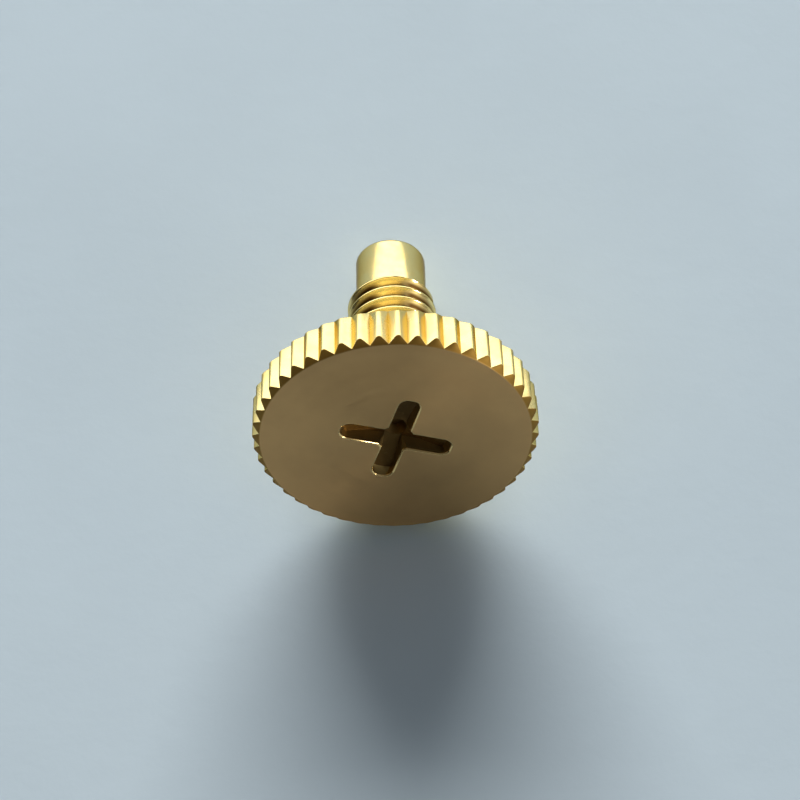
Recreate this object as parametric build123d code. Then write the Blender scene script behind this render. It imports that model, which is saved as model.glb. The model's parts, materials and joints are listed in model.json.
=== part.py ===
"""Radiator bleeder screw: a one-piece turned brass thumb screw.

A thin disc head with a straight-knurled rim and a cross recess in its face, a threaded shank with a
relief groove under the head, and a plain dog point.

The screw is modelled lying as it comes to rest on a level surface: on two neighbouring knurl teeth
and the lower edge of the dog point.  +Z is up, +Y runs from the head towards the point, +X is across
the head, and the origin is at the middle of the bounding box, on the surface.  All sizes are in mm.
"""

from build123d import *
import math
import os

# ---------------------------------------------------------------- driving dimensions

# Head
HEAD_DIAMETER = 15.4  # over the knurl crests
HEAD_THICKNESS = 2.4
RIM_CHAMFER_LENGTH = 0.3  # along the axis, on both edges of the rim
RIM_CHAMFER_WIDTH = 0.5  # across the axis; it reaches past the knurl's valleys
KNURL_TEETH = 48
KNURL_DEPTH = 0.36
KNURL_CREST_RADIUS = 0.22

# Cross recess in the face of the head
RECESS_SPAN = 6.2  # tip to tip of two opposite wings, at the face
RECESS_WING_WIDTH = 1.15  # at the face; the ends of the wings are round
RECESS_WING_DRAFT = 6.0  # degrees, each side wall of a wing
RECESS_END_SLOPE = 30.0  # degrees, each end wall of a wing
RECESS_END_DEPTH = 0.5  # where the end wall meets the sloping floor of a wing
RECESS_WING_DEPTH = 0.95  # where the floor meets the central cone
RECESS_CORE_DIAMETER = 2.0  # of the central cone, at the face
RECESS_CORE_HALF_ANGLE = 22.0  # degrees
RECESS_DEPTH = 1.5  # to the flat bottom of the cone
RECESS_TURN = 18.8  # degrees, the wings against the knurl

# Shank
THREAD_DIAMETER = 5.0  # M5, over the crests
THREAD_PITCH = 0.8
THREAD_DEPTH = 0.45
THREAD_FLANK_ANGLE = 60.0  # degrees, between the two flanks
THREAD_CREST_FLAT = 0.1
THREAD_CHAMFER = 0.3  # 45 degrees, at the start of the thread
SHANK_LENGTH = 7.9  # from under the head to the shoulder of the dog point
RELIEF_DIAMETER = 4.0  # groove under the head where the thread runs out
RELIEF_LENGTH = 2.2
RELIEF_FILLET = 0.25  # in the corner under the head

# Dog point
POINT_DIAMETER = 4.0
POINT_LENGTH = 3.3
POINT_CHAMFER = 0.1

# ---------------------------------------------------------------- values that follow

head_radius = HEAD_DIAMETER / 2
thread_radius = THREAD_DIAMETER / 2
relief_radius = RELIEF_DIAMETER / 2
point_radius = POINT_DIAMETER / 2
shoulder = HEAD_THICKNESS + SHANK_LENGTH  # distance from the face, along the axis
total_length = shoulder + POINT_LENGTH
tooth_pitch_angle = 360 / KNURL_TEETH


def turned(*outline):
    """Turn a closed (radius, height) outline about Z; its seam is on +Y, the side that lies down."""
    return revolve(Plane.YZ * make_face([*outline]), Axis.Z)


def turned_head():
    """The head's blank: a disc with both edges of its rim chamfered."""
    flat_radius = head_radius - RIM_CHAMFER_WIDTH
    return turned(
        Polyline(
            (0, 0),
            (flat_radius, 0),
            (head_radius, RIM_CHAMFER_LENGTH),
            (head_radius, HEAD_THICKNESS - RIM_CHAMFER_LENGTH),
            (flat_radius, HEAD_THICKNESS),
            (0, HEAD_THICKNESS),
            close=True,
        )
    )


def knurl_outline():
    """The rim's outline: straight flanks that meet in sharp valleys, with rounded crests."""
    root_radius = head_radius - KNURL_DEPTH
    half_pitch = math.radians(tooth_pitch_angle / 2)
    valley_x = root_radius * math.sin(half_pitch)
    valley_y = root_radius * math.cos(half_pitch)
    crest_centre_y = head_radius - KNURL_CREST_RADIUS
    # The flank is the tangent from the valley to the circle that rounds the crest.
    to_centre = math.hypot(valley_x, crest_centre_y - valley_y)
    rise = math.atan2(crest_centre_y - valley_y, valley_x)
    rise += math.asin(KNURL_CREST_RADIUS / to_centre)
    touch_x = KNURL_CREST_RADIUS * math.sin(rise)
    touch_y = crest_centre_y + KNURL_CREST_RADIUS * math.cos(rise)
    outline = []
    for tooth in range(KNURL_TEETH):
        turn = Rot(0, 0, (tooth + 0.5) * tooth_pitch_angle)
        outline.append(turn * Line((valley_x, valley_y), (touch_x, touch_y)))
        outline.append(turn * ThreePointArc((touch_x, touch_y), (0, head_radius), (-touch_x, touch_y)))
        outline.append(turn * Line((-touch_x, touch_y), (-valley_x, valley_y)))
    return make_face(Curve() + outline)


def wing_slot():
    """Two opposite wings: a round-ended slot that narrows a little as it goes down."""
    inset = RECESS_WING_DEPTH * math.tan(math.radians(RECESS_WING_DRAFT))
    mouth = SlotOverall(RECESS_SPAN, RECESS_WING_WIDTH)
    floor = SlotOverall(RECESS_SPAN - 2 * inset, RECESS_WING_WIDTH - 2 * inset)
    return loft([mouth, Pos(0, 0, RECESS_WING_DEPTH) * floor], ruled=True)


def recess_cutter():
    """The cross recess: two crossing wing slots over a turned envelope, and a central cone."""
    core_radius = RECESS_CORE_DIAMETER / 2
    core_slope = math.tan(math.radians(RECESS_CORE_HALF_ANGLE))
    end_inset = RECESS_END_DEPTH * math.tan(math.radians(RECESS_END_SLOPE))
    # The envelope gives the wings their end walls and their floors, which slope to the middle.
    envelope = turned(
        Polyline(
            (0, 0),
            (RECESS_SPAN / 2, 0),
            (RECESS_SPAN / 2 - end_inset, RECESS_END_DEPTH),
            (core_radius, RECESS_WING_DEPTH),
            (0, RECESS_WING_DEPTH),
            close=True,
        )
    )
    core = Cone(
        core_radius,
        core_radius - RECESS_DEPTH * core_slope,
        RECESS_DEPTH,
        align=(Align.CENTER, Align.CENTER, Align.MIN),
    )
    wings = (wing_slot() + Rot(0, 0, 90) * wing_slot()) & envelope
    return Rot(0, 0, RECESS_TURN) * (wings + core)


def turned_shank():
    """The shank before threading, with the relief groove and the dog point, standing on the axis."""
    relief_end = HEAD_THICKNESS + RELIEF_LENGTH
    fillet_radius = relief_radius + RELIEF_FILLET
    fillet_end = HEAD_THICKNESS + RELIEF_FILLET
    corner = RadiusArc((fillet_radius, HEAD_THICKNESS), (relief_radius, fillet_end), RELIEF_FILLET)
    outside = Polyline(
        (relief_radius, fillet_end),
        (relief_radius, relief_end),
        (thread_radius, relief_end + thread_radius - relief_radius),
        (thread_radius, shoulder - THREAD_CHAMFER),
        (thread_radius - THREAD_CHAMFER, shoulder),
        (point_radius, shoulder),
        (point_radius, total_length - POINT_CHAMFER),
        (point_radius - POINT_CHAMFER, total_length),
        (0, total_length),
    )
    inside = Polyline((0, total_length), (0, 0), (fillet_radius, 0), (fillet_radius, HEAD_THICKNESS))
    return turned(corner, outside, inside)


def thread_groove():
    """The helical groove as single turns, from inside the relief groove to past the shoulder."""
    start = HEAD_THICKNESS + RELIEF_LENGTH - THREAD_PITCH / 2
    turns = math.ceil((shoulder - start) / THREAD_PITCH) + 1
    root_radius = thread_radius - THREAD_DEPTH
    flank = math.tan(math.radians(THREAD_FLANK_ANGLE / 2))
    mouth_half = (THREAD_PITCH - THREAD_CREST_FLAT) / 2
    root_half = mouth_half - THREAD_DEPTH * flank
    # The cutter stands proud of the crests by as much as keeps its turns apart.
    proud = THREAD_CREST_FLAT / 4 / flank
    helix = Helix(THREAD_PITCH, THREAD_PITCH, root_radius)
    section_plane = Plane(origin=helix @ 0, x_dir=(1, 0, 0), z_dir=(0, 1, 0))
    section = section_plane * make_face(
        Polyline(
            (0, -root_half),
            (0, root_half),
            (THREAD_DEPTH + proud, mouth_half + proud * flank),
            (THREAD_DEPTH + proud, -mouth_half - proud * flank),
            close=True,
        )
    )
    one_turn = sweep(section, path=helix, is_frenet=True)
    return [Pos(0, 0, start + turn * THREAD_PITCH) * one_turn for turn in range(turns)]


def screw_on_axis():
    """The whole screw on the Z axis, face at z = 0, point upwards."""
    head = turned_head() & extrude(knurl_outline(), HEAD_THICKNESS)
    shank = turned_shank() - thread_groove()
    return head + shank - recess_cutter()


def lying(screw):
    """Lay the screw down: two teeth and the edge of the point touch z = 0."""
    half_pitch = math.radians(tooth_pitch_angle / 2)
    tooth_reach = head_radius * math.cos(half_pitch)
    tooth_station = HEAD_THICKNESS - RIM_CHAMFER_LENGTH
    point_station = total_length - POINT_CHAMFER
    tilt = math.degrees(math.atan2(tooth_reach - point_radius, point_station - tooth_station))
    laid = Rot(-90 - tilt, 0, 0) * screw
    box = laid.bounding_box()
    return Pos(-box.center().X, -box.center().Y, -box.min.Z) * laid


screw = lying(screw_on_axis())
os.makedirs("parts", exist_ok=True)
export_step(screw, "parts/bleeder_screw.step")
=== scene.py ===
"""Radiator bleeder screw: a one-piece turned brass thumb screw, lying on a pale surface.

The screw is modelled standing on its own axis in millimetres, with the face of its head at z = 0
and its point upwards, and is then laid down in the frame, in metres.
"""

import json
import math

import bmesh
import bpy
from bpy.props import FloatProperty, FloatVectorProperty, IntProperty, PointerProperty
from mathutils import Euler, Matrix, Vector


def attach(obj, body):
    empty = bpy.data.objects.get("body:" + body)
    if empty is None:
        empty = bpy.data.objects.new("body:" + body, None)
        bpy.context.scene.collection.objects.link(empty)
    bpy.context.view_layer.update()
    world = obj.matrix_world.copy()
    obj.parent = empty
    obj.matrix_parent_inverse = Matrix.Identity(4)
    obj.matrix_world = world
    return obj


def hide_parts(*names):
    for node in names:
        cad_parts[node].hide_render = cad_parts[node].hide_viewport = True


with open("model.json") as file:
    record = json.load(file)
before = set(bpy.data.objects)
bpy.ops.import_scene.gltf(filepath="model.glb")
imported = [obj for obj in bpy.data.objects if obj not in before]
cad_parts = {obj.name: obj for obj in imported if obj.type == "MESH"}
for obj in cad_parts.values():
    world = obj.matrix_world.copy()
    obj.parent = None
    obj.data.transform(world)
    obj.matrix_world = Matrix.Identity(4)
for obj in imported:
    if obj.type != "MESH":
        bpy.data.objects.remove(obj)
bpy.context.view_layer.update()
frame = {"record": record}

bl_info = {
    "name": "Radiator bleeder screw",
    "version": (1, 0, 0),
    "blender": (4, 5, 0),
    "location": "3D View > Sidebar > Bleeder screw",
    "description": "Makes a turned brass bleeder screw and the plain stage that it lies on",
    "category": "Add Mesh",
}

MM = 0.001
TURN = 2 * math.pi
QUARTER = TURN / 4
AROUND = 96  # steps round the shank
MERGE = 1e-4  # points nearer than this are one, in mm
ABOVE_FACE = 0.3  # how far the recess's cutters stand out of the face, in mm
RIM_RINGS = 12  # rings of points from the edge of the face to the edge of the back
THREAD_FLANK = math.radians(30)
THREAD_BEND = 0.022  # rounding of the thread's roots and crests, in mm
FLANK_POINTS = (0.07, 0.13, 0.19)  # points on a flank, across from its foot, in mm
FILLET_STEPS = 6
POINT_BEND = 0.08  # rounding of both edges of the point's chamfer, in mm
WING_END_STEPS = 24  # steps round the circle that ends a wing
EDGE_STEPS = 5  # steps of the recess's rounded edge
SHARP = math.radians(38)  # edges that turn more than this stay sharp
PLAIN_TINT = (1.0, 1.0, 1.0)
FACE_SLOT, RECESS_SLOT = 1, 2  # material slots; the rest of the screw has slot 0


def mount(name):
    """The place and the direction of one of the frame's mounts."""
    found = next(m for m in frame["record"]["mounts"] if m["name"] == name)
    return Vector(found["pos_m"]), Vector(found["axis"])


face_centre, face_outward = mount("cross_recess")
# The axis frame's +Z is the direction from the face to the point: it is turned about X only.
lying_turn = Euler((-math.acos(-face_outward.z), 0, 0))


# ---------------------------------------------------------------- sizes and colours


def amount(name, default, description):
    return FloatProperty(name=name, description=description, default=default, min=0.0, precision=3)


def length(name, default, description):
    return amount(name, default, description + ", in mm")


def degrees(name, default, description):
    return FloatProperty(
        name=name, description=description, default=math.radians(default), subtype="ANGLE"
    )


def colour(name, default, description):
    return FloatVectorProperty(
        name=name, description=description, default=default, subtype="COLOR", min=0.0, max=1.0
    )


class HeadSizes(bpy.types.PropertyGroup):
    """Sizes of the knurled head, in millimetres."""

    diameter: length("Diameter", 15.4, "Diameter over the knurl crests")
    thickness: length("Thickness", 2.4, "Thickness of the head")
    chamfer_length: length("Chamfer length", 0.3, "Rim chamfers along the axis")
    chamfer_width: length("Chamfer width", 0.4, "Rim chamfers across the axis")
    teeth: IntProperty(name="Teeth", description="Number of knurl teeth", default=48, min=3)
    tooth_depth: length("Tooth depth", 0.36, "Depth of the knurl")
    crest_radius: length("Crest radius", 0.22, "Radius that rounds each crest")
    edge_break: length("Edge break", 0.035, "Rounding of the rim's edges")


class RecessSizes(bpy.types.PropertyGroup):
    """Sizes of the cross recess, in millimetres."""

    span: length("Span", 6.2, "Tip to tip of two opposite wings")
    wing_width: length("Wing width", 1.15, "Width of a wing at the face")
    wing_draft: degrees("Wing draft", 6.0, "Slope of each side wall of a wing")
    end_slope: degrees("End slope", 30.0, "Slope of each end wall of a wing")
    end_depth: length("End depth", 0.5, "Where an end wall meets the floor")
    wing_depth: length("Wing depth", 0.95, "Where the floor meets the central cone")
    core_diameter: length("Core diameter", 2.0, "Central cone at the face")
    core_angle: degrees("Core half angle", 22.0, "Half angle of the central cone")
    depth: length("Depth", 1.5, "Depth of the central cone")
    turn: degrees("Turn", 18.8, "Turn of the wings against the knurl")
    edge_break: length("Edge break", 0.1, "Rounding of the recess's edge")


class ShankSizes(bpy.types.PropertyGroup):
    """Sizes of the threaded shank and the dog point, in millimetres."""

    thread_diameter: length("Thread diameter", 5.0, "Diameter over the thread crests")
    pitch: length("Pitch", 0.8, "Thread pitch")
    thread_depth: length("Thread depth", 0.45, "Depth of the thread")
    crest_flat: length("Crest flat", 0.1, "Width of the thread's crest")
    thread_chamfer: length("Thread chamfer", 0.3, "Chamfer at the start of the thread")
    length: length("Length", 7.9, "From under the head to the shoulder of the point")
    relief_diameter: length("Relief diameter", 4.0, "Groove under the head")
    relief_length: length("Relief length", 2.2, "Length of the groove under the head")
    fillet: length("Fillet", 0.25, "Fillet under the head")
    point_diameter: length("Point diameter", 4.0, "Diameter of the dog point")
    point_length: length("Point length", 3.3, "Length of the dog point")
    point_chamfer: length("Point chamfer", 0.1, "Chamfer at the end of the point")


class BrassFinish(bpy.types.PropertyGroup):
    """Colours and finish of the turned brass."""

    bright: colour("Bright brass", (0.93, 0.76, 0.33), "Colour of the freshly turned brass")
    warm: colour("Warm brass", (0.90, 0.69, 0.27), "Colour of the slightly duller brass")
    # The face's brass is duller, and its colour is darkened further as painted shade.
    face: colour("Face brass", (0.575, 0.35, 0.145), "Colour of the duller turned face")
    # Painted shade on the chamfer round the face.
    chamfer: colour("Chamfer brass", (0.30, 0.17, 0.035), "Colour of the chamfer round the face")
    # Colour of the painted shade in the recess and in the thread's grooves.
    painted_shade_colour: colour("Painted shade", (0.10, 0.05, 0.012), "Colour of the dirt in the recess and the thread")
    # Both edge tints darken the brass where it is seen edge-on, as painted shade; the second,
    # darker one is on the thread and the rim.
    edge: colour("Edge tint", (0.42, 0.36, 0.28), "Tint of the brass where it is seen edge-on")
    edge_shade: colour("Shaded edge tint", (0.14, 0.10, 0.05), "The same, on the thread and the rim")
    face_roughness: amount("Face roughness", 0.34, "Roughness of the turned face")
    rim_roughness: amount("Rim roughness", 0.15, "Roughness of the knurled rim and the shank")


class StageLook(bpy.types.PropertyGroup):
    """Colours and light of the stage."""

    floor: colour("Floor", (0.60, 0.71, 0.79), "Colour of the pale surface")
    air: colour("Surroundings", (0.86, 0.94, 1.0), "Colour of the light from all round")
    air_strength: amount("Surroundings strength", 0.17, "Strength of the light from all round")
    window_strength: amount("Window strength", 2.4, "Brightness of the window in reflections")
    key_power: amount("Key power", 42.5, "Power of the key light, in W")
    key_azimuth: degrees("Key azimuth", 1.0, "Turn of the key light to the left of straight behind")
    key_elevation: degrees("Key elevation", 22.5, "Height of the key light above the surface")
    fill_power: amount("Fill power", 0.55, "Power of the small light in front, in W")
    lens: length("Lens", 91.6, "Focal length of the camera")


# ---------------------------------------------------------------- mesh helpers


def new_verts(geometry):
    return [g for g in geometry if isinstance(g, bmesh.types.BMVert)]


def new_open_edges(geometry):
    return [g for g in geometry if isinstance(g, bmesh.types.BMEdge) and g.is_boundary]


def place(vertex, radius, height):
    """Move a vertex to a radius and a height, keeping its direction from the axis."""
    across = Vector((vertex.co.x, vertex.co.y))
    across.normalize()
    vertex.co = (across.x * radius, across.y * radius, height)


def pull_ring(mesh, edges, radius, height):
    """Extrude a ring of edges to a new radius and height, and return the new ring's edges."""
    new = bmesh.ops.extrude_edge_only(mesh, edges=edges)["geom"]
    for vertex in new_verts(new):
        place(vertex, radius, height)
    return new_open_edges(new)


def boundary_at(mesh, height):
    """The open edges that lie at one height."""
    return [
        e
        for e in mesh.edges
        if e.is_boundary and all(abs(v.co.z - height) < MERGE for v in e.verts)
    ]


def chain(mesh, points):
    """A chain of edges through some points, as its vertices and its edges."""
    verts = [mesh.verts.new(point) for point in points]
    edges = [mesh.edges.new(pair) for pair in zip(verts, verts[1:])]
    return verts + edges


def spin_profile(mesh, profile, climb=0.0, closed=False):
    """Turn (radius, height) points once round the axis, climbing by a height at each step."""
    bmesh.ops.spin(
        mesh,
        geom=chain(mesh, [(radius, 0, height) for radius, height in profile]),
        cent=(0, 0, 0),
        axis=(0, 0, 1),
        dvec=(0, 0, climb),
        angle=TURN,
        steps=AROUND,
        use_merge=closed,
    )
    bmesh.ops.remove_doubles(mesh, verts=mesh.verts, dist=MERGE)


def rounded_corner(before, corner, after, size):
    """Three points that round a corner of a profile."""
    before, corner, after = Vector(before), Vector(corner), Vector(after)
    start = corner + (before - corner).normalized() * size
    end = corner + (after - corner).normalized() * size
    return [start, (start + end) / 4 + corner / 2, end]


# ---------------------------------------------------------------- the head


def tooth_outline(mesh, head):
    """One knurl tooth as a chain of edges, its valleys on both sides of +Y."""
    radius = head.diameter / 2
    root = radius - head.tooth_depth
    half = TURN / head.teeth / 2
    valley = Vector((root * math.sin(half), root * math.cos(half)))
    centre_y = radius - head.crest_radius
    rise = math.atan2(centre_y - valley.y, valley.x)
    rise += math.asin(head.crest_radius / math.hypot(valley.x, centre_y - valley.y))

    def on_crest(bend):
        across = Vector((math.sin(bend), math.cos(bend)))
        return across * head.crest_radius + Vector((0, centre_y))

    touch = on_crest(rise)
    side = [valley.lerp(touch, share) for share in (0.0, 0.1, 0.4, 0.7, 1.0)]
    side += [on_crest(rise * share) for share in (2 / 3, 1 / 3)]
    other_side = [Vector((-p.x, p.y)) for p in reversed(side)]
    return chain(mesh, [(p.x, p.y, 0) for p in side + [Vector((0, radius))] + other_side])


def rim_profile(head, reach):
    """Radius and height of the rings of the rim, where the outline's radius is reach."""
    flat_radius = head.diameter / 2 - head.chamfer_width
    slope = head.chamfer_length / head.chamfer_width
    drop = (reach - flat_radius) * slope
    size = head.edge_break
    face_edge = rounded_corner((0, 0), (flat_radius, 0), (reach, drop), size)
    wall_edge = rounded_corner((flat_radius, 0), (reach, drop), (reach, drop + 1), size)
    front = face_edge + wall_edge
    return front + [Vector((p.x, head.thickness - p.y)) for p in reversed(front)]


def knurled_head(mesh, head):
    """The head from the edge of its face round the knurled rim to its open back."""
    tooth = tooth_outline(mesh, head)
    pitch = TURN / head.teeth
    bmesh.ops.rotate(
        mesh,
        verts=new_verts(tooth),
        matrix=Matrix.Rotation(pitch / 2, 3, "Z"),
    )
    bmesh.ops.spin(
        mesh,
        geom=tooth,
        cent=(0, 0, 0),
        axis=(0, 0, 1),
        angle=TURN - pitch,
        steps=head.teeth - 1,
        use_duplicate=True,
    )
    bmesh.ops.remove_doubles(mesh, verts=mesh.verts, dist=MERGE)
    # Each ring follows from how far the outline reaches at that place.
    reach = mesh.verts.layers.float.new("reach")
    for vertex in mesh.verts:
        vertex[reach] = vertex.co.xy.length
        ring = rim_profile(head, vertex[reach])[0]
        place(vertex, ring.x, ring.y)
    edges = list(mesh.edges)
    for step in range(1, RIM_RINGS):
        new = bmesh.ops.extrude_edge_only(mesh, edges=edges)["geom"]
        for vertex in new_verts(new):
            ring = rim_profile(head, vertex[reach])[step]
            place(vertex, ring.x, ring.y)
        edges = new_open_edges(new)
    bmesh.ops.remove_doubles(mesh, verts=mesh.verts, dist=MERGE / 10)


# ---------------------------------------------------------------- the shank


def thread_points(shank, start, end):
    """The thread's profile as (radius, height) points, its grooves a pitch apart from start."""
    crest = shank.thread_diameter / 2
    root = crest - shank.thread_depth
    slope = math.tan(THREAD_FLANK)
    mouth = (shank.pitch - shank.crest_flat) / 2
    foot = mouth - shank.thread_depth * slope
    bend = THREAD_BEND

    def on_flank(across):
        return root + (across - foot) / slope

    half = [(0.0, root), (foot - 2 * bend, root), (foot - 0.5 * bend, root + 0.4 * bend)]
    half += [(foot + x, on_flank(foot + x)) for x in (bend, *FLANK_POINTS)]
    half += [(mouth - bend, on_flank(mouth - bend)), (mouth - 0.2 * bend, crest - 0.55 * bend)]
    half += [(mouth + 0.7 * bend, crest - 0.08 * bend)]
    one = half + [(shank.pitch / 2, crest)]
    one += [(shank.pitch - x, r) for x, r in reversed(half[1:])]
    turns = math.ceil((end - start) / shank.pitch) + 1
    return [(r, start + t * shank.pitch + x) for t in range(-1, turns) for x, r in one]


def threaded_shank(mesh, head, shank):
    """The thread, the relief groove under the head with its fillet, and the dog point."""
    start = head.thickness + shank.relief_length
    shoulder = head.thickness + shank.length
    crest = shank.thread_diameter / 2
    relief = shank.relief_diameter / 2
    profile = thread_points(shank, start - shank.pitch / 2, shoulder)
    spin_profile(mesh, profile, climb=shank.pitch / AROUND)
    for height, outward in ((start, -1), (shoulder, 1)):
        bmesh.ops.bisect_plane(
            mesh,
            geom=list(mesh.verts) + list(mesh.edges) + list(mesh.faces),
            dist=MERGE,
            plane_co=(0, 0, height),
            plane_no=(0, 0, outward),
            clear_outer=True,
        )
    # The turned blank bounds the thread: its runout into the relief groove and its chamfer.
    for vertex in mesh.verts:
        height = vertex.co.z
        blank = min(
            relief + height - start, crest, crest - shank.thread_chamfer + shoulder - height
        )
        place(vertex, min(vertex.co.xy.length, blank), height)
    # Relief groove and fillet, down to the back of the head.
    edges = boundary_at(mesh, start)
    corner = Vector((relief + shank.fillet, head.thickness + shank.fillet))
    for share in range(FILLET_STEPS + 1):
        bend = QUARTER * share / FILLET_STEPS
        edges = pull_ring(
            mesh,
            edges,
            corner.x - shank.fillet * math.cos(bend),
            corner.y - shank.fillet * math.sin(bend),
        )
    # Shoulder and dog point.
    point = shank.point_diameter / 2
    tip = shoulder + shank.point_length
    cut = shank.point_chamfer
    profile = [(point, shoulder)]
    side, end = (point, tip - cut), (point - cut, tip)
    profile += rounded_corner((point, shoulder), side, end, POINT_BEND)
    profile += rounded_corner(side, end, (0, tip), POINT_BEND)
    profile.append((point - 2 * cut, tip))
    edges = boundary_at(mesh, shoulder)
    for radius, height in profile:
        edges = pull_ring(mesh, edges, radius, height)
    bmesh.ops.holes_fill(mesh, edges=edges)


# ---------------------------------------------------------------- the recess


def stadium(mesh, span, width, height):
    """A round-ended outline along X: two half circles joined by straight edges."""
    radius = width / 2
    ends = []
    for side in (1, -1):
        arc = bmesh.ops.create_circle(mesh, segments=WING_END_STEPS, radius=radius)["verts"]
        centre = side * (span / 2 - radius)
        bmesh.ops.translate(mesh, verts=arc, vec=(centre, 0, height))
        inner = [v for v in arc if (v.co.x - centre) * side < -MERGE]
        ends += [v for v in arc if v not in inner]
        bmesh.ops.delete(mesh, geom=inner, context="VERTS")
    loose = [v for v in ends if len(v.link_edges) == 1]
    for side in (1, -1):
        mesh.edges.new([v for v in loose if v.co.y * side > 0])
    return [e for e in mesh.edges if all(v in ends for v in e.verts)]


def recess_edge(recess, slope):
    """The rounded edge of a sloping wall: how far each point is outside the wall, and how deep."""
    size = recess.edge_break
    bends = [QUARTER * share / EDGE_STEPS for share in range(EDGE_STEPS + 1)]
    return [(size * (1 - math.sin(b) - slope), size * (1 - math.cos(b))) for b in bends]


def wing_slot(mesh, recess, turn):
    """Two opposite wings: a round-ended slot from above the face to below the wings' floors."""
    radius = recess.wing_width / 2
    middle = recess.span / 2 - radius
    slope = math.tan(recess.wing_draft)
    bottom = recess.wing_depth + ABOVE_FACE
    levels = recess_edge(recess, slope) + [(-bottom * slope, bottom)]
    mouth = levels[0][0]
    edges = stadium(mesh, recess.span + 2 * mouth, recess.wing_width + 2 * mouth, -ABOVE_FACE)
    for outside, height in levels:
        new = bmesh.ops.extrude_edge_only(mesh, edges=edges)["geom"]
        for vertex in new_verts(new):
            centre = Vector((math.copysign(middle, vertex.co.x), 0))
            moved = centre + (vertex.co.xy - centre).normalized() * (radius + outside)
            vertex.co = (moved.x, moved.y, height)
        edges = new_open_edges(new)
    bmesh.ops.holes_fill(mesh, edges=[e for e in mesh.edges if e.is_boundary])
    bmesh.ops.recalc_face_normals(mesh, faces=mesh.faces)
    bmesh.ops.rotate(mesh, verts=mesh.verts, matrix=Matrix.Rotation(turn, 3, "Z"))


def turned_cutter(mesh, recess, radius, slope, proud, below):
    """A turned body with the recess's rounded edge at a radius, closed by the points below it.

    Each cutter stands proud of the face by its own height, so that no two share a plane.
    """
    edge = [(radius + outside, height) for outside, height in recess_edge(recess, slope)]
    top = [(0.0, -proud), (edge[0][0], -proud)]
    spin_profile(mesh, top + edge + below, closed=True)
    bmesh.ops.recalc_face_normals(mesh, faces=mesh.faces)


def wing_envelope(mesh, recess):
    """The turned body that gives the wings their end walls and their sloping floors."""
    slope = math.tan(recess.end_slope)
    radius = recess.span / 2
    below = [
        (radius - recess.end_depth * slope, recess.end_depth),
        (recess.core_diameter / 2, recess.wing_depth),
        (0.0, recess.wing_depth),
    ]
    turned_cutter(mesh, recess, radius, slope, 0.8 * ABOVE_FACE, below)


def recess_core(mesh, recess):
    """The central cone, standing a little above the face."""
    slope = math.tan(recess.core_angle)
    radius = recess.core_diameter / 2
    below = [(radius - recess.depth * slope, recess.depth), (0.0, recess.depth)]
    turned_cutter(mesh, recess, radius, slope, 1.3 * ABOVE_FACE, below)


def new_object(name, mesh):
    """An object made from a bmesh, linked to the scene."""
    data = bpy.data.meshes.new(name)
    mesh.to_mesh(data)
    mesh.free()
    made = bpy.data.objects.new(name, data)
    bpy.context.scene.collection.objects.link(made)
    return made


def turned_screw(head, shank):
    """The head and the shank as one closed object, before the recess is cut."""
    rim = bmesh.new()
    knurled_head(rim, head)
    body = bmesh.new()
    threaded_shank(body, head, shank)
    joined = bpy.data.meshes.new("rim")
    rim.to_mesh(joined)
    rim.free()
    body.from_mesh(joined)
    bpy.data.meshes.remove(joined)
    bmesh.ops.holes_fill(body, edges=boundary_at(body, 0.0))
    bmesh.ops.bridge_loops(body, edges=boundary_at(body, head.thickness))
    bmesh.ops.recalc_face_normals(body, faces=body.faces)
    return new_object("turned_screw", body)


def combine(made, other, operation):
    """Apply an exact Boolean to an object's mesh, and remove the other object."""
    modifier = made.modifiers.new("Combine", "BOOLEAN")
    modifier.operation = operation
    modifier.solver = "EXACT"
    modifier.object = other
    bpy.context.view_layer.update()
    evaluated = made.evaluated_get(bpy.context.evaluated_depsgraph_get())
    data = bpy.data.meshes.new_from_object(evaluated)
    made.modifiers.clear()
    made.data = data
    bpy.data.objects.remove(other)


def cut_recess(screw, recess):
    """Cut the cross recess out of the head."""
    for turn in (recess.turn, recess.turn + QUARTER):
        slot = bmesh.new()
        wing_slot(slot, recess, turn)
        envelope = bmesh.new()
        wing_envelope(envelope, recess)
        wings = new_object("wings", slot)
        combine(wings, new_object("envelope", envelope), "INTERSECT")
        combine(screw, wings, "DIFFERENCE")
    core = bmesh.new()
    recess_core(core, recess)
    combine(screw, new_object("core", core), "DIFFERENCE")


# ---------------------------------------------------------------- the materials


class Nodes:
    """A short way to write a node tree."""

    def __init__(self, tree):
        self.tree = tree
        tree.nodes.clear()

    def add(self, kind, inputs=(), **settings):
        node = self.tree.nodes.new(kind)
        for key, value in settings.items():
            setattr(node, key, value)
        for key, value in dict(inputs).items():
            if isinstance(value, bpy.types.NodeSocket):
                self.tree.links.new(value, node.inputs[key])
            else:
                node.inputs[key].default_value = value
        return node

    def math(self, operation, *values):
        return self.add("ShaderNodeMath", enumerate(values), operation=operation).outputs[0]

    def vector(self, operation, *values):
        made = self.add("ShaderNodeVectorMath", enumerate(values), operation=operation)
        return made.outputs["Value" if operation in ("LENGTH", "DOT_PRODUCT") else "Vector"]

    def step(self, value, low, high, to_low=0.0, to_high=1.0):
        """A smooth step of a value between two limits."""
        made = self.add(
            "ShaderNodeMapRange",
            {"Value": value, 1: low, 2: high, 3: to_low, 4: to_high},
            interpolation_type="SMOOTHSTEP",
        )
        return made.outputs["Result"]

    def noise(self, where, scale, detail, roughness):
        made = self.add(
            "ShaderNodeTexNoise",
            {"Vector": where, "Scale": scale, "Detail": detail, "Roughness": roughness},
        )
        return made.outputs["Fac"]

    def mix(self, factor, first, second):
        made = self.add("ShaderNodeMix", {0: factor, 6: first, 7: second}, data_type="RGBA")
        return made.outputs[2]


def solid(values):
    return (*values, 1.0)


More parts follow.
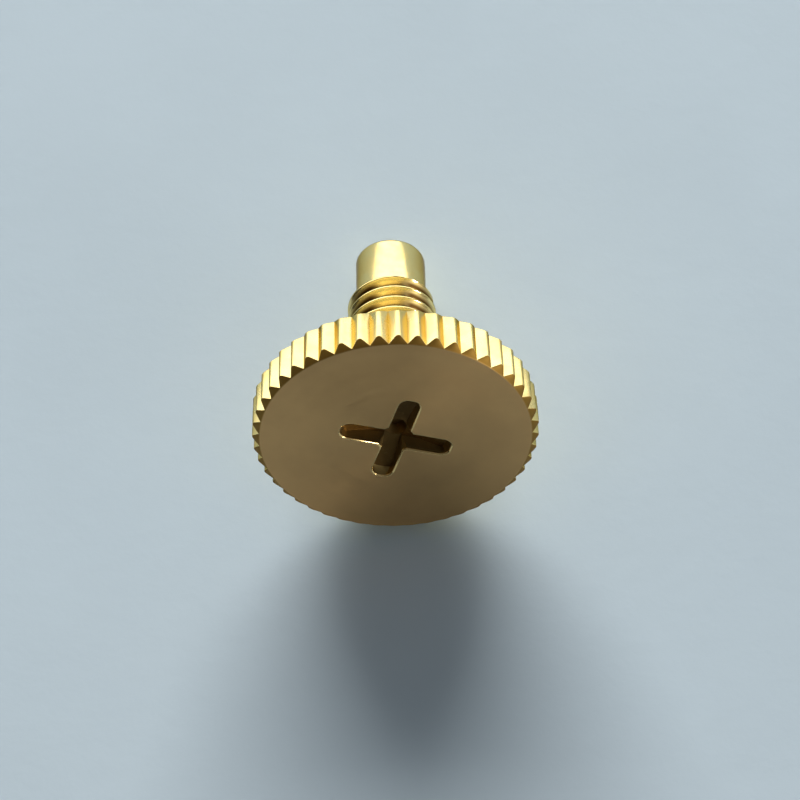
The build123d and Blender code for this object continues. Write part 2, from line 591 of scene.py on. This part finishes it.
class OwnCoordinates:
    """Places on the screw in millimetres, in its own axis frame, and the direction round it."""

    def __init__(self, nodes):
        where = nodes.add("ShaderNodeTexCoord").outputs["Object"]
        self.point = nodes.add(
            "ShaderNodeMapping",
            {
                "Vector": where,
                "Location": face_centre,
                "Rotation": lying_turn,
                "Scale": (MM, MM, MM),
            },
            vector_type="TEXTURE",
        ).outputs[0]
        split = nodes.add("ShaderNodeSeparateXYZ", {0: self.point})
        self.across, along, self.height = split.outputs
        flat = nodes.add("ShaderNodeCombineXYZ", {0: self.across, 1: along}).outputs[0]
        self.radius = nodes.vector("LENGTH", flat)
        # Tool marks run round the axis: they change with radius and height, and a little sideways.
        self.turned = nodes.add(
            "ShaderNodeCombineXYZ",
            {
                0: self.radius,
                1: self.height,
                2: nodes.math("MULTIPLY", self.across, 0.015),
            },
        ).outputs[0]
        from_face = nodes.vector("SUBTRACT", where, tuple(face_centre))
        around = nodes.vector("CROSS_PRODUCT", tuple(-face_outward), from_face)
        self.around = nodes.vector("NORMALIZE", around)


def finish_brass(nodes, own, colour, rough, marks, mark_depth, anisotropy, edge):
    """The shader that ends each brass material."""
    bump = nodes.add(
        "ShaderNodeBump", {"Strength": 0.3, "Distance": mark_depth * MM, "Height": marks}
    )
    shader = nodes.add(
        "ShaderNodeBsdfPrincipled",
        {
            "Base Color": colour,
            "Metallic": 1.0,
            "Specular Tint": edge,
            "Roughness": rough,
            "Anisotropic": anisotropy,
            "Anisotropic Rotation": 0.25,
            "Normal": bump.outputs[0],
            "Tangent": own.around,
        },
    )
    nodes.add("ShaderNodeOutputMaterial", {0: shader.outputs[0]})


def new_material(name):
    material = bpy.data.materials.new(name)
    material.use_nodes = True
    return material, Nodes(material.node_tree)


def bright_brass(finish, head, shank):
    """Bright turned brass of the knurl, the thread and the point, with painted shade in the
    thread's grooves.
    """
    material, nodes = new_material("turned_brass")
    own = OwnCoordinates(nodes)
    stains = nodes.noise(own.point, 0.8, 4.0, 0.6)
    marks = nodes.noise(own.turned, 11.0, 4.0, 0.65)
    tone = nodes.mix(nodes.step(stains, 0.35, 0.7), solid(finish.bright), solid(finish.warm))
    # Painted shade lies below the crests, from the back of the head to just past the shoulder.
    crest = shank.thread_diameter / 2
    shoulder = head.thickness + shank.length
    groove = nodes.step(own.radius, crest - 0.3, crest, 1.0, 0.0)
    after_head = nodes.step(own.height, head.thickness, head.thickness + 0.2)
    before_point = nodes.step(own.height, shoulder + 0.1, shoulder + 0.3, 1.0, 0.0)
    threaded = nodes.math("MULTIPLY", after_head, before_point)
    # The painted shade is weaker above and below the thread, and strongest on its two sides.
    sideways = nodes.math("DIVIDE", nodes.math("ABSOLUTE", own.across), own.radius)
    side_shade = nodes.step(sideways, 0.15, 0.55, 0.25, 1.0)
    # Painted shade: the thread's grooves are darker, most of all on the two sides.
    painted_shade = nodes.math("MULTIPLY", nodes.math("MULTIPLY", groove, side_shade), threaded)
    tone = nodes.mix(painted_shade, tone, solid(finish.painted_shade_colour))
    rough = nodes.step(stains, 0.3, 0.75, finish.rim_roughness - 0.03, finish.rim_roughness + 0.06)
    rough = nodes.math("MULTIPLY_ADD", painted_shade, 0.3, rough)
    on_rim = nodes.step(own.radius, 4.5, 5.5)
    rough = nodes.math("MULTIPLY_ADD", on_rim, 0.13, rough)
    # Painted shade: a darker edge tint where the thread and the rim are seen edge-on.
    edge_shade = nodes.math("MAXIMUM", threaded, on_rim)
    edge = nodes.mix(edge_shade, solid(finish.edge), solid(finish.edge_shade))
    finish_brass(nodes, own, tone, rough, marks, 0.003, 0.35, edge)
    return material


def face_brass(finish, head):
    """The duller turned face, its colour darkened further as painted shade, with fine concentric
    tool marks.
    """
    material, nodes = new_material("turned_brass_face")
    own = OwnCoordinates(nodes)
    marks = nodes.noise(own.turned, 8.0, 5.0, 0.7)
    stains = nodes.noise(own.point, 0.3, 3.0, 0.55)
    bands = nodes.noise(own.turned, 1.6, 2.0, 0.5)
    # The face's colour: duller brass, darkened further as painted shade.
    deeper = solid([c * 0.90 for c in finish.face])
    tone = nodes.mix(nodes.step(stains, 0.3, 0.7), solid(finish.face), deeper)
    rough = nodes.step(bands, 0.3, 0.7, finish.face_roughness - 0.03, finish.face_roughness + 0.03)
    # The narrow chamfer round the face has painted shade, and is duller.
    flat_radius = head.diameter / 2 - head.chamfer_width
    chamfer = nodes.step(own.radius, flat_radius - 0.05, flat_radius + 0.05)
    tone = nodes.mix(chamfer, tone, solid(finish.chamfer))
    rough = nodes.math("MULTIPLY_ADD", chamfer, 0.3, rough)
    finish_brass(nodes, own, tone, rough, marks, 0.004, 0.6, solid(PLAIN_TINT))
    return material


def recess_brass(finish, recess):
    """The stamped recess: painted shade on the floors and in the depth, lighter walls."""
    material, nodes = new_material("turned_brass_recess")
    own = OwnCoordinates(nodes)
    facing = nodes.add("ShaderNodeNewGeometry").outputs["True Normal"]
    outward = nodes.vector("DOT_PRODUCT", facing, tuple(face_outward))
    specks = nodes.noise(own.point, 5.0, 4.0, 0.6)
    # Painted shade lies on the floors and in the depth, broken by lighter specks, up to the rounded
    # edge.
    floors = nodes.step(outward, 0.8, 0.95, 0.72, 0.97)
    deep = nodes.step(own.height, recess.end_depth, recess.wing_depth - 0.05, 0.0, 0.9)
    painted_shade = nodes.math("MAXIMUM", floors, deep)
    below_edge = nodes.step(own.height, recess.edge_break - 0.02, recess.edge_break + 0.04)
    painted_shade = nodes.math("MULTIPLY", painted_shade, below_edge)
    painted_shade = nodes.math("MULTIPLY", painted_shade, nodes.step(specks, 0.15, 0.45, 0.85, 1.0))
    edge = solid([0.6 * f + 0.4 * b for f, b in zip(finish.face, finish.bright)])
    wall = nodes.mix(below_edge, edge, solid(finish.warm))
    # Painted shade darkens the recess's floors and its depth.
    tone = nodes.mix(painted_shade, wall, solid(finish.painted_shade_colour))
    rough = nodes.math("MULTIPLY_ADD", painted_shade, 0.2, 0.24)
    finish_brass(nodes, own, tone, rough, specks, 0.006, 0.0, solid(PLAIN_TINT))
    return material


# ---------------------------------------------------------------- operators


class BLEEDER_OT_screw(bpy.types.Operator):
    """Make the turned brass screw and lay it down in the frame"""

    bl_idname = "bleeder.screw"
    bl_label = "Make the screw"

    def execute(self, context):
        scene = context.scene
        head, shank, recess = scene.bleeder_head, scene.bleeder_shank, scene.bleeder_recess
        screw = turned_screw(head, shank)
        cut_recess(screw, recess)

        mesh = bmesh.new()
        mesh.from_mesh(screw.data)
        bmesh.ops.recalc_face_normals(mesh, faces=mesh.faces)
        open_edges = [e for e in mesh.edges if not e.is_manifold]
        if open_edges:
            raise RuntimeError(f"the screw has {len(open_edges)} open edges")
        self.sort_faces(mesh, head, recess)
        laid = Matrix.LocRotScale(face_centre, lying_turn, Vector((MM, MM, MM)))
        bmesh.ops.transform(mesh, matrix=laid, verts=mesh.verts)
        # The slots are emptied first, because that also resets which face has which material.
        screw.data.materials.clear()
        finish = scene.bleeder_finish
        screw.data.materials.append(bright_brass(finish, head, shank))
        screw.data.materials.append(face_brass(finish, head))
        screw.data.materials.append(recess_brass(finish, recess))
        mesh.to_mesh(screw.data)
        mesh.free()
        screw.data.shade_smooth()
        screw.data.set_sharp_from_angle(angle=SHARP)
        weigh = screw.modifiers.new("Even out shading", "WEIGHTED_NORMAL")
        weigh.keep_sharp = True
        weigh.weight = 80
        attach(screw, "root")
        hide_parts("bleeder_screw")
        return {"FINISHED"}

    def sort_faces(self, mesh, head, recess):
        """Give the face with its edges, and the inside of the recess, their own materials."""
        inside = recess.span / 2 + recess.edge_break
        for face in mesh.faces:
            middle = face.calc_center_median()
            flat = face.normal.z < -0.999 and middle.z < 0.001
            front = face.normal.z < -0.2 and middle.z < head.chamfer_length
            if flat or (front and middle.xy.length > inside):
                face.material_index = FACE_SLOT
            elif middle.xy.length < inside and middle.z < recess.depth + 0.1:
                face.material_index = RECESS_SLOT


class BLEEDER_OT_stage(bpy.types.Operator):
    """Make the pale surface, the soft light and the camera"""

    bl_idname = "bleeder.stage"
    bl_label = "Make the stage"

    def execute(self, context):
        look = context.scene.bleeder_stage
        self.make_floor(look)
        self.make_surroundings(context.scene, look)
        self.make_key(look)
        self.make_fill(look)
        self.make_camera(context.scene, look)
        context.scene.view_settings.view_transform = "Standard"
        return {"FINISHED"}

    def make_floor(self, look):
        mesh = bmesh.new()
        bmesh.ops.create_grid(mesh, x_segments=1, y_segments=1, size=1.2)
        floor = new_object("floor", mesh)
        material, nodes = new_material("pale_surface")
        where = nodes.add("ShaderNodeTexCoord").outputs["Object"]
        cloud = nodes.noise(where, 60.0, 4.0, 0.6)
        shade = nodes.mix(
            nodes.step(cloud, 0.3, 0.7),
            solid(look.floor),
            solid([c * 0.965 for c in look.floor]),
        )
        bump = nodes.add(
            "ShaderNodeBump",
            {"Strength": 0.15, "Distance": 0.0001, "Height": nodes.noise(where, 900.0, 5.0, 0.6)},
        )
        shader = nodes.add(
            "ShaderNodeBsdfPrincipled",
            {"Base Color": shade, "Roughness": 0.75, "Normal": bump.outputs[0]},
        )
        nodes.add("ShaderNodeOutputMaterial", {0: shader.outputs[0]})
        floor.data.materials.append(material)

    def make_surroundings(self, scene, look):
        world = bpy.data.worlds.new("surroundings")
        world.use_nodes = True
        scene.world = world
        nodes = Nodes(world.node_tree)
        towards = nodes.add("ShaderNodeTexCoord").outputs["Generated"]
        # A wide window low on the far side, pale walls and a darker ceiling, for reflections only.
        squeezed = nodes.vector("MULTIPLY", towards, (1.0, 1.0, 2.2))
        window = (-0.2, 0.93, 0.3)
        near = nodes.vector("DOT_PRODUCT", nodes.vector("NORMALIZE", squeezed), window)
        glow = nodes.step(near, 0.50, 0.60)
        split = nodes.add("ShaderNodeSeparateXYZ", {0: towards})
        sideways, ahead, upward = split.outputs
        walls = nodes.math("MULTIPLY_ADD", sideways, 0.4, 0.44)
        walls = nodes.math("MULTIPLY", walls, nodes.step(ahead, -0.6, 0.3, 0.3, 1.0))
        ceiling = nodes.step(upward, 0.15, 0.75)
        room = nodes.add("ShaderNodeMix", {0: ceiling, 2: walls, 3: 0.13}).outputs[0]
        bright = nodes.add("ShaderNodeMix", {0: glow, 2: room, 3: look.window_strength}).outputs[0]
        seen = (1.0, 0.99, 0.97, 1.0)
        rays = nodes.add("ShaderNodeLightPath")
        plain = nodes.add(
            "ShaderNodeBackground", {"Color": solid(look.air), "Strength": look.air_strength}
        )
        mirrored = nodes.add("ShaderNodeBackground", {"Color": seen, "Strength": bright})
        behind = nodes.add(
            "ShaderNodeBackground",
            {"Color": solid([c * 0.86 for c in look.floor]), "Strength": 1.0},
        )
        mixed = nodes.add(
            "ShaderNodeMixShader",
            {0: rays.outputs["Is Glossy Ray"], 1: plain.outputs[0], 2: mirrored.outputs[0]},
        )
        mixed = nodes.add(
            "ShaderNodeMixShader",
            {0: rays.outputs["Is Camera Ray"], 1: mixed.outputs[0], 2: behind.outputs[0]},
        )
        nodes.add("ShaderNodeOutputWorld", {0: mixed.outputs[0]})
        world.cycles.sampling_method = "NONE"

    def add_lamp(self, data, direction, distance):
        """Stand a light some way off in a direction, facing the screw."""
        away = Vector(direction).normalized()
        lamp = bpy.data.objects.new(data.name, data)
        lamp.location = away * distance
        lamp.rotation_mode = "QUATERNION"
        lamp.rotation_quaternion = (-away).to_track_quat("-Z", "Y")
        bpy.context.scene.collection.objects.link(lamp)
        return lamp

    def make_key(self, look):
        """The wide soft light behind the screw, which its metal doesn't mirror."""
        data = bpy.data.lights.new("key", "AREA")
        data.shape = "RECTANGLE"
        data.size, data.size_y = 1.25, 0.75
        data.energy = look.key_power
        data.color = (1.0, 0.985, 0.95)
        ahead = Vector((-math.sin(look.key_azimuth), math.cos(look.key_azimuth)))
        direction = (ahead.x, ahead.y, math.tan(look.key_elevation))
        self.add_lamp(data, direction, 1.5).visible_glossy = False

    def make_fill(self, look):
        """The small light in front, which only the metal mirrors."""
        data = bpy.data.lights.new("fill", "AREA")
        data.shape = "DISK"
        data.size = 0.05
        data.energy = look.fill_power
        self.add_lamp(data, (0.76, -0.47, 0.45), 0.3).visible_diffuse = False

    def make_camera(self, scene, look):
        data = bpy.data.cameras.new("camera")
        data.sensor_width = 36.0
        data.lens = look.lens
        data.clip_start, data.clip_end = 0.005, 5.0
        camera = bpy.data.objects.new("camera", data)
        # Where the camera stands and which way it is held, in the screw's own axis frame.
        right = Vector((0.99856, 0.04747, -0.02516))
        up = Vector((0.05063, -0.67469, 0.73638))
        back = right.cross(up).normalized()
        up = back.cross(right)
        held = Matrix((right, up, back)).transposed().to_4x4()
        held.translation = Vector((2.288, -81.711, -72.15)) * MM
        camera.matrix_world = Matrix.LocRotScale(face_centre, lying_turn, None) @ held
        scene.collection.objects.link(camera)
        scene.camera = camera


class BLEEDER_PT_panel(bpy.types.Panel):
    """The screw's sizes, colours and operators"""

    bl_label = "Bleeder screw"
    bl_idname = "BLEEDER_PT_panel"
    bl_space_type = "VIEW_3D"
    bl_region_type = "UI"
    bl_category = "Bleeder screw"

    def draw(self, context):
        for group in ("head", "recess", "shank", "finish", "stage"):
            values = getattr(context.scene, "bleeder_" + group)
            box = self.layout.box()
            for name in values.__annotations__:
                box.prop(values, name)
        self.layout.operator("bleeder.screw")
        self.layout.operator("bleeder.stage")


GROUPS = {
    "bleeder_head": HeadSizes,
    "bleeder_recess": RecessSizes,
    "bleeder_shank": ShankSizes,
    "bleeder_finish": BrassFinish,
    "bleeder_stage": StageLook,
}
CLASSES = (*GROUPS.values(), BLEEDER_OT_screw, BLEEDER_OT_stage, BLEEDER_PT_panel)


def register():
    for item in CLASSES:
        bpy.utils.register_class(item)
    for name, group in GROUPS.items():
        setattr(bpy.types.Scene, name, PointerProperty(type=group))


def unregister():
    for name in GROUPS:
        delattr(bpy.types.Scene, name)
    for item in reversed(CLASSES):
        bpy.utils.unregister_class(item)


def main():
    register()
    bpy.ops.bleeder.screw()
    bpy.ops.bleeder.stage()


if __name__ == "__main__":
    main()
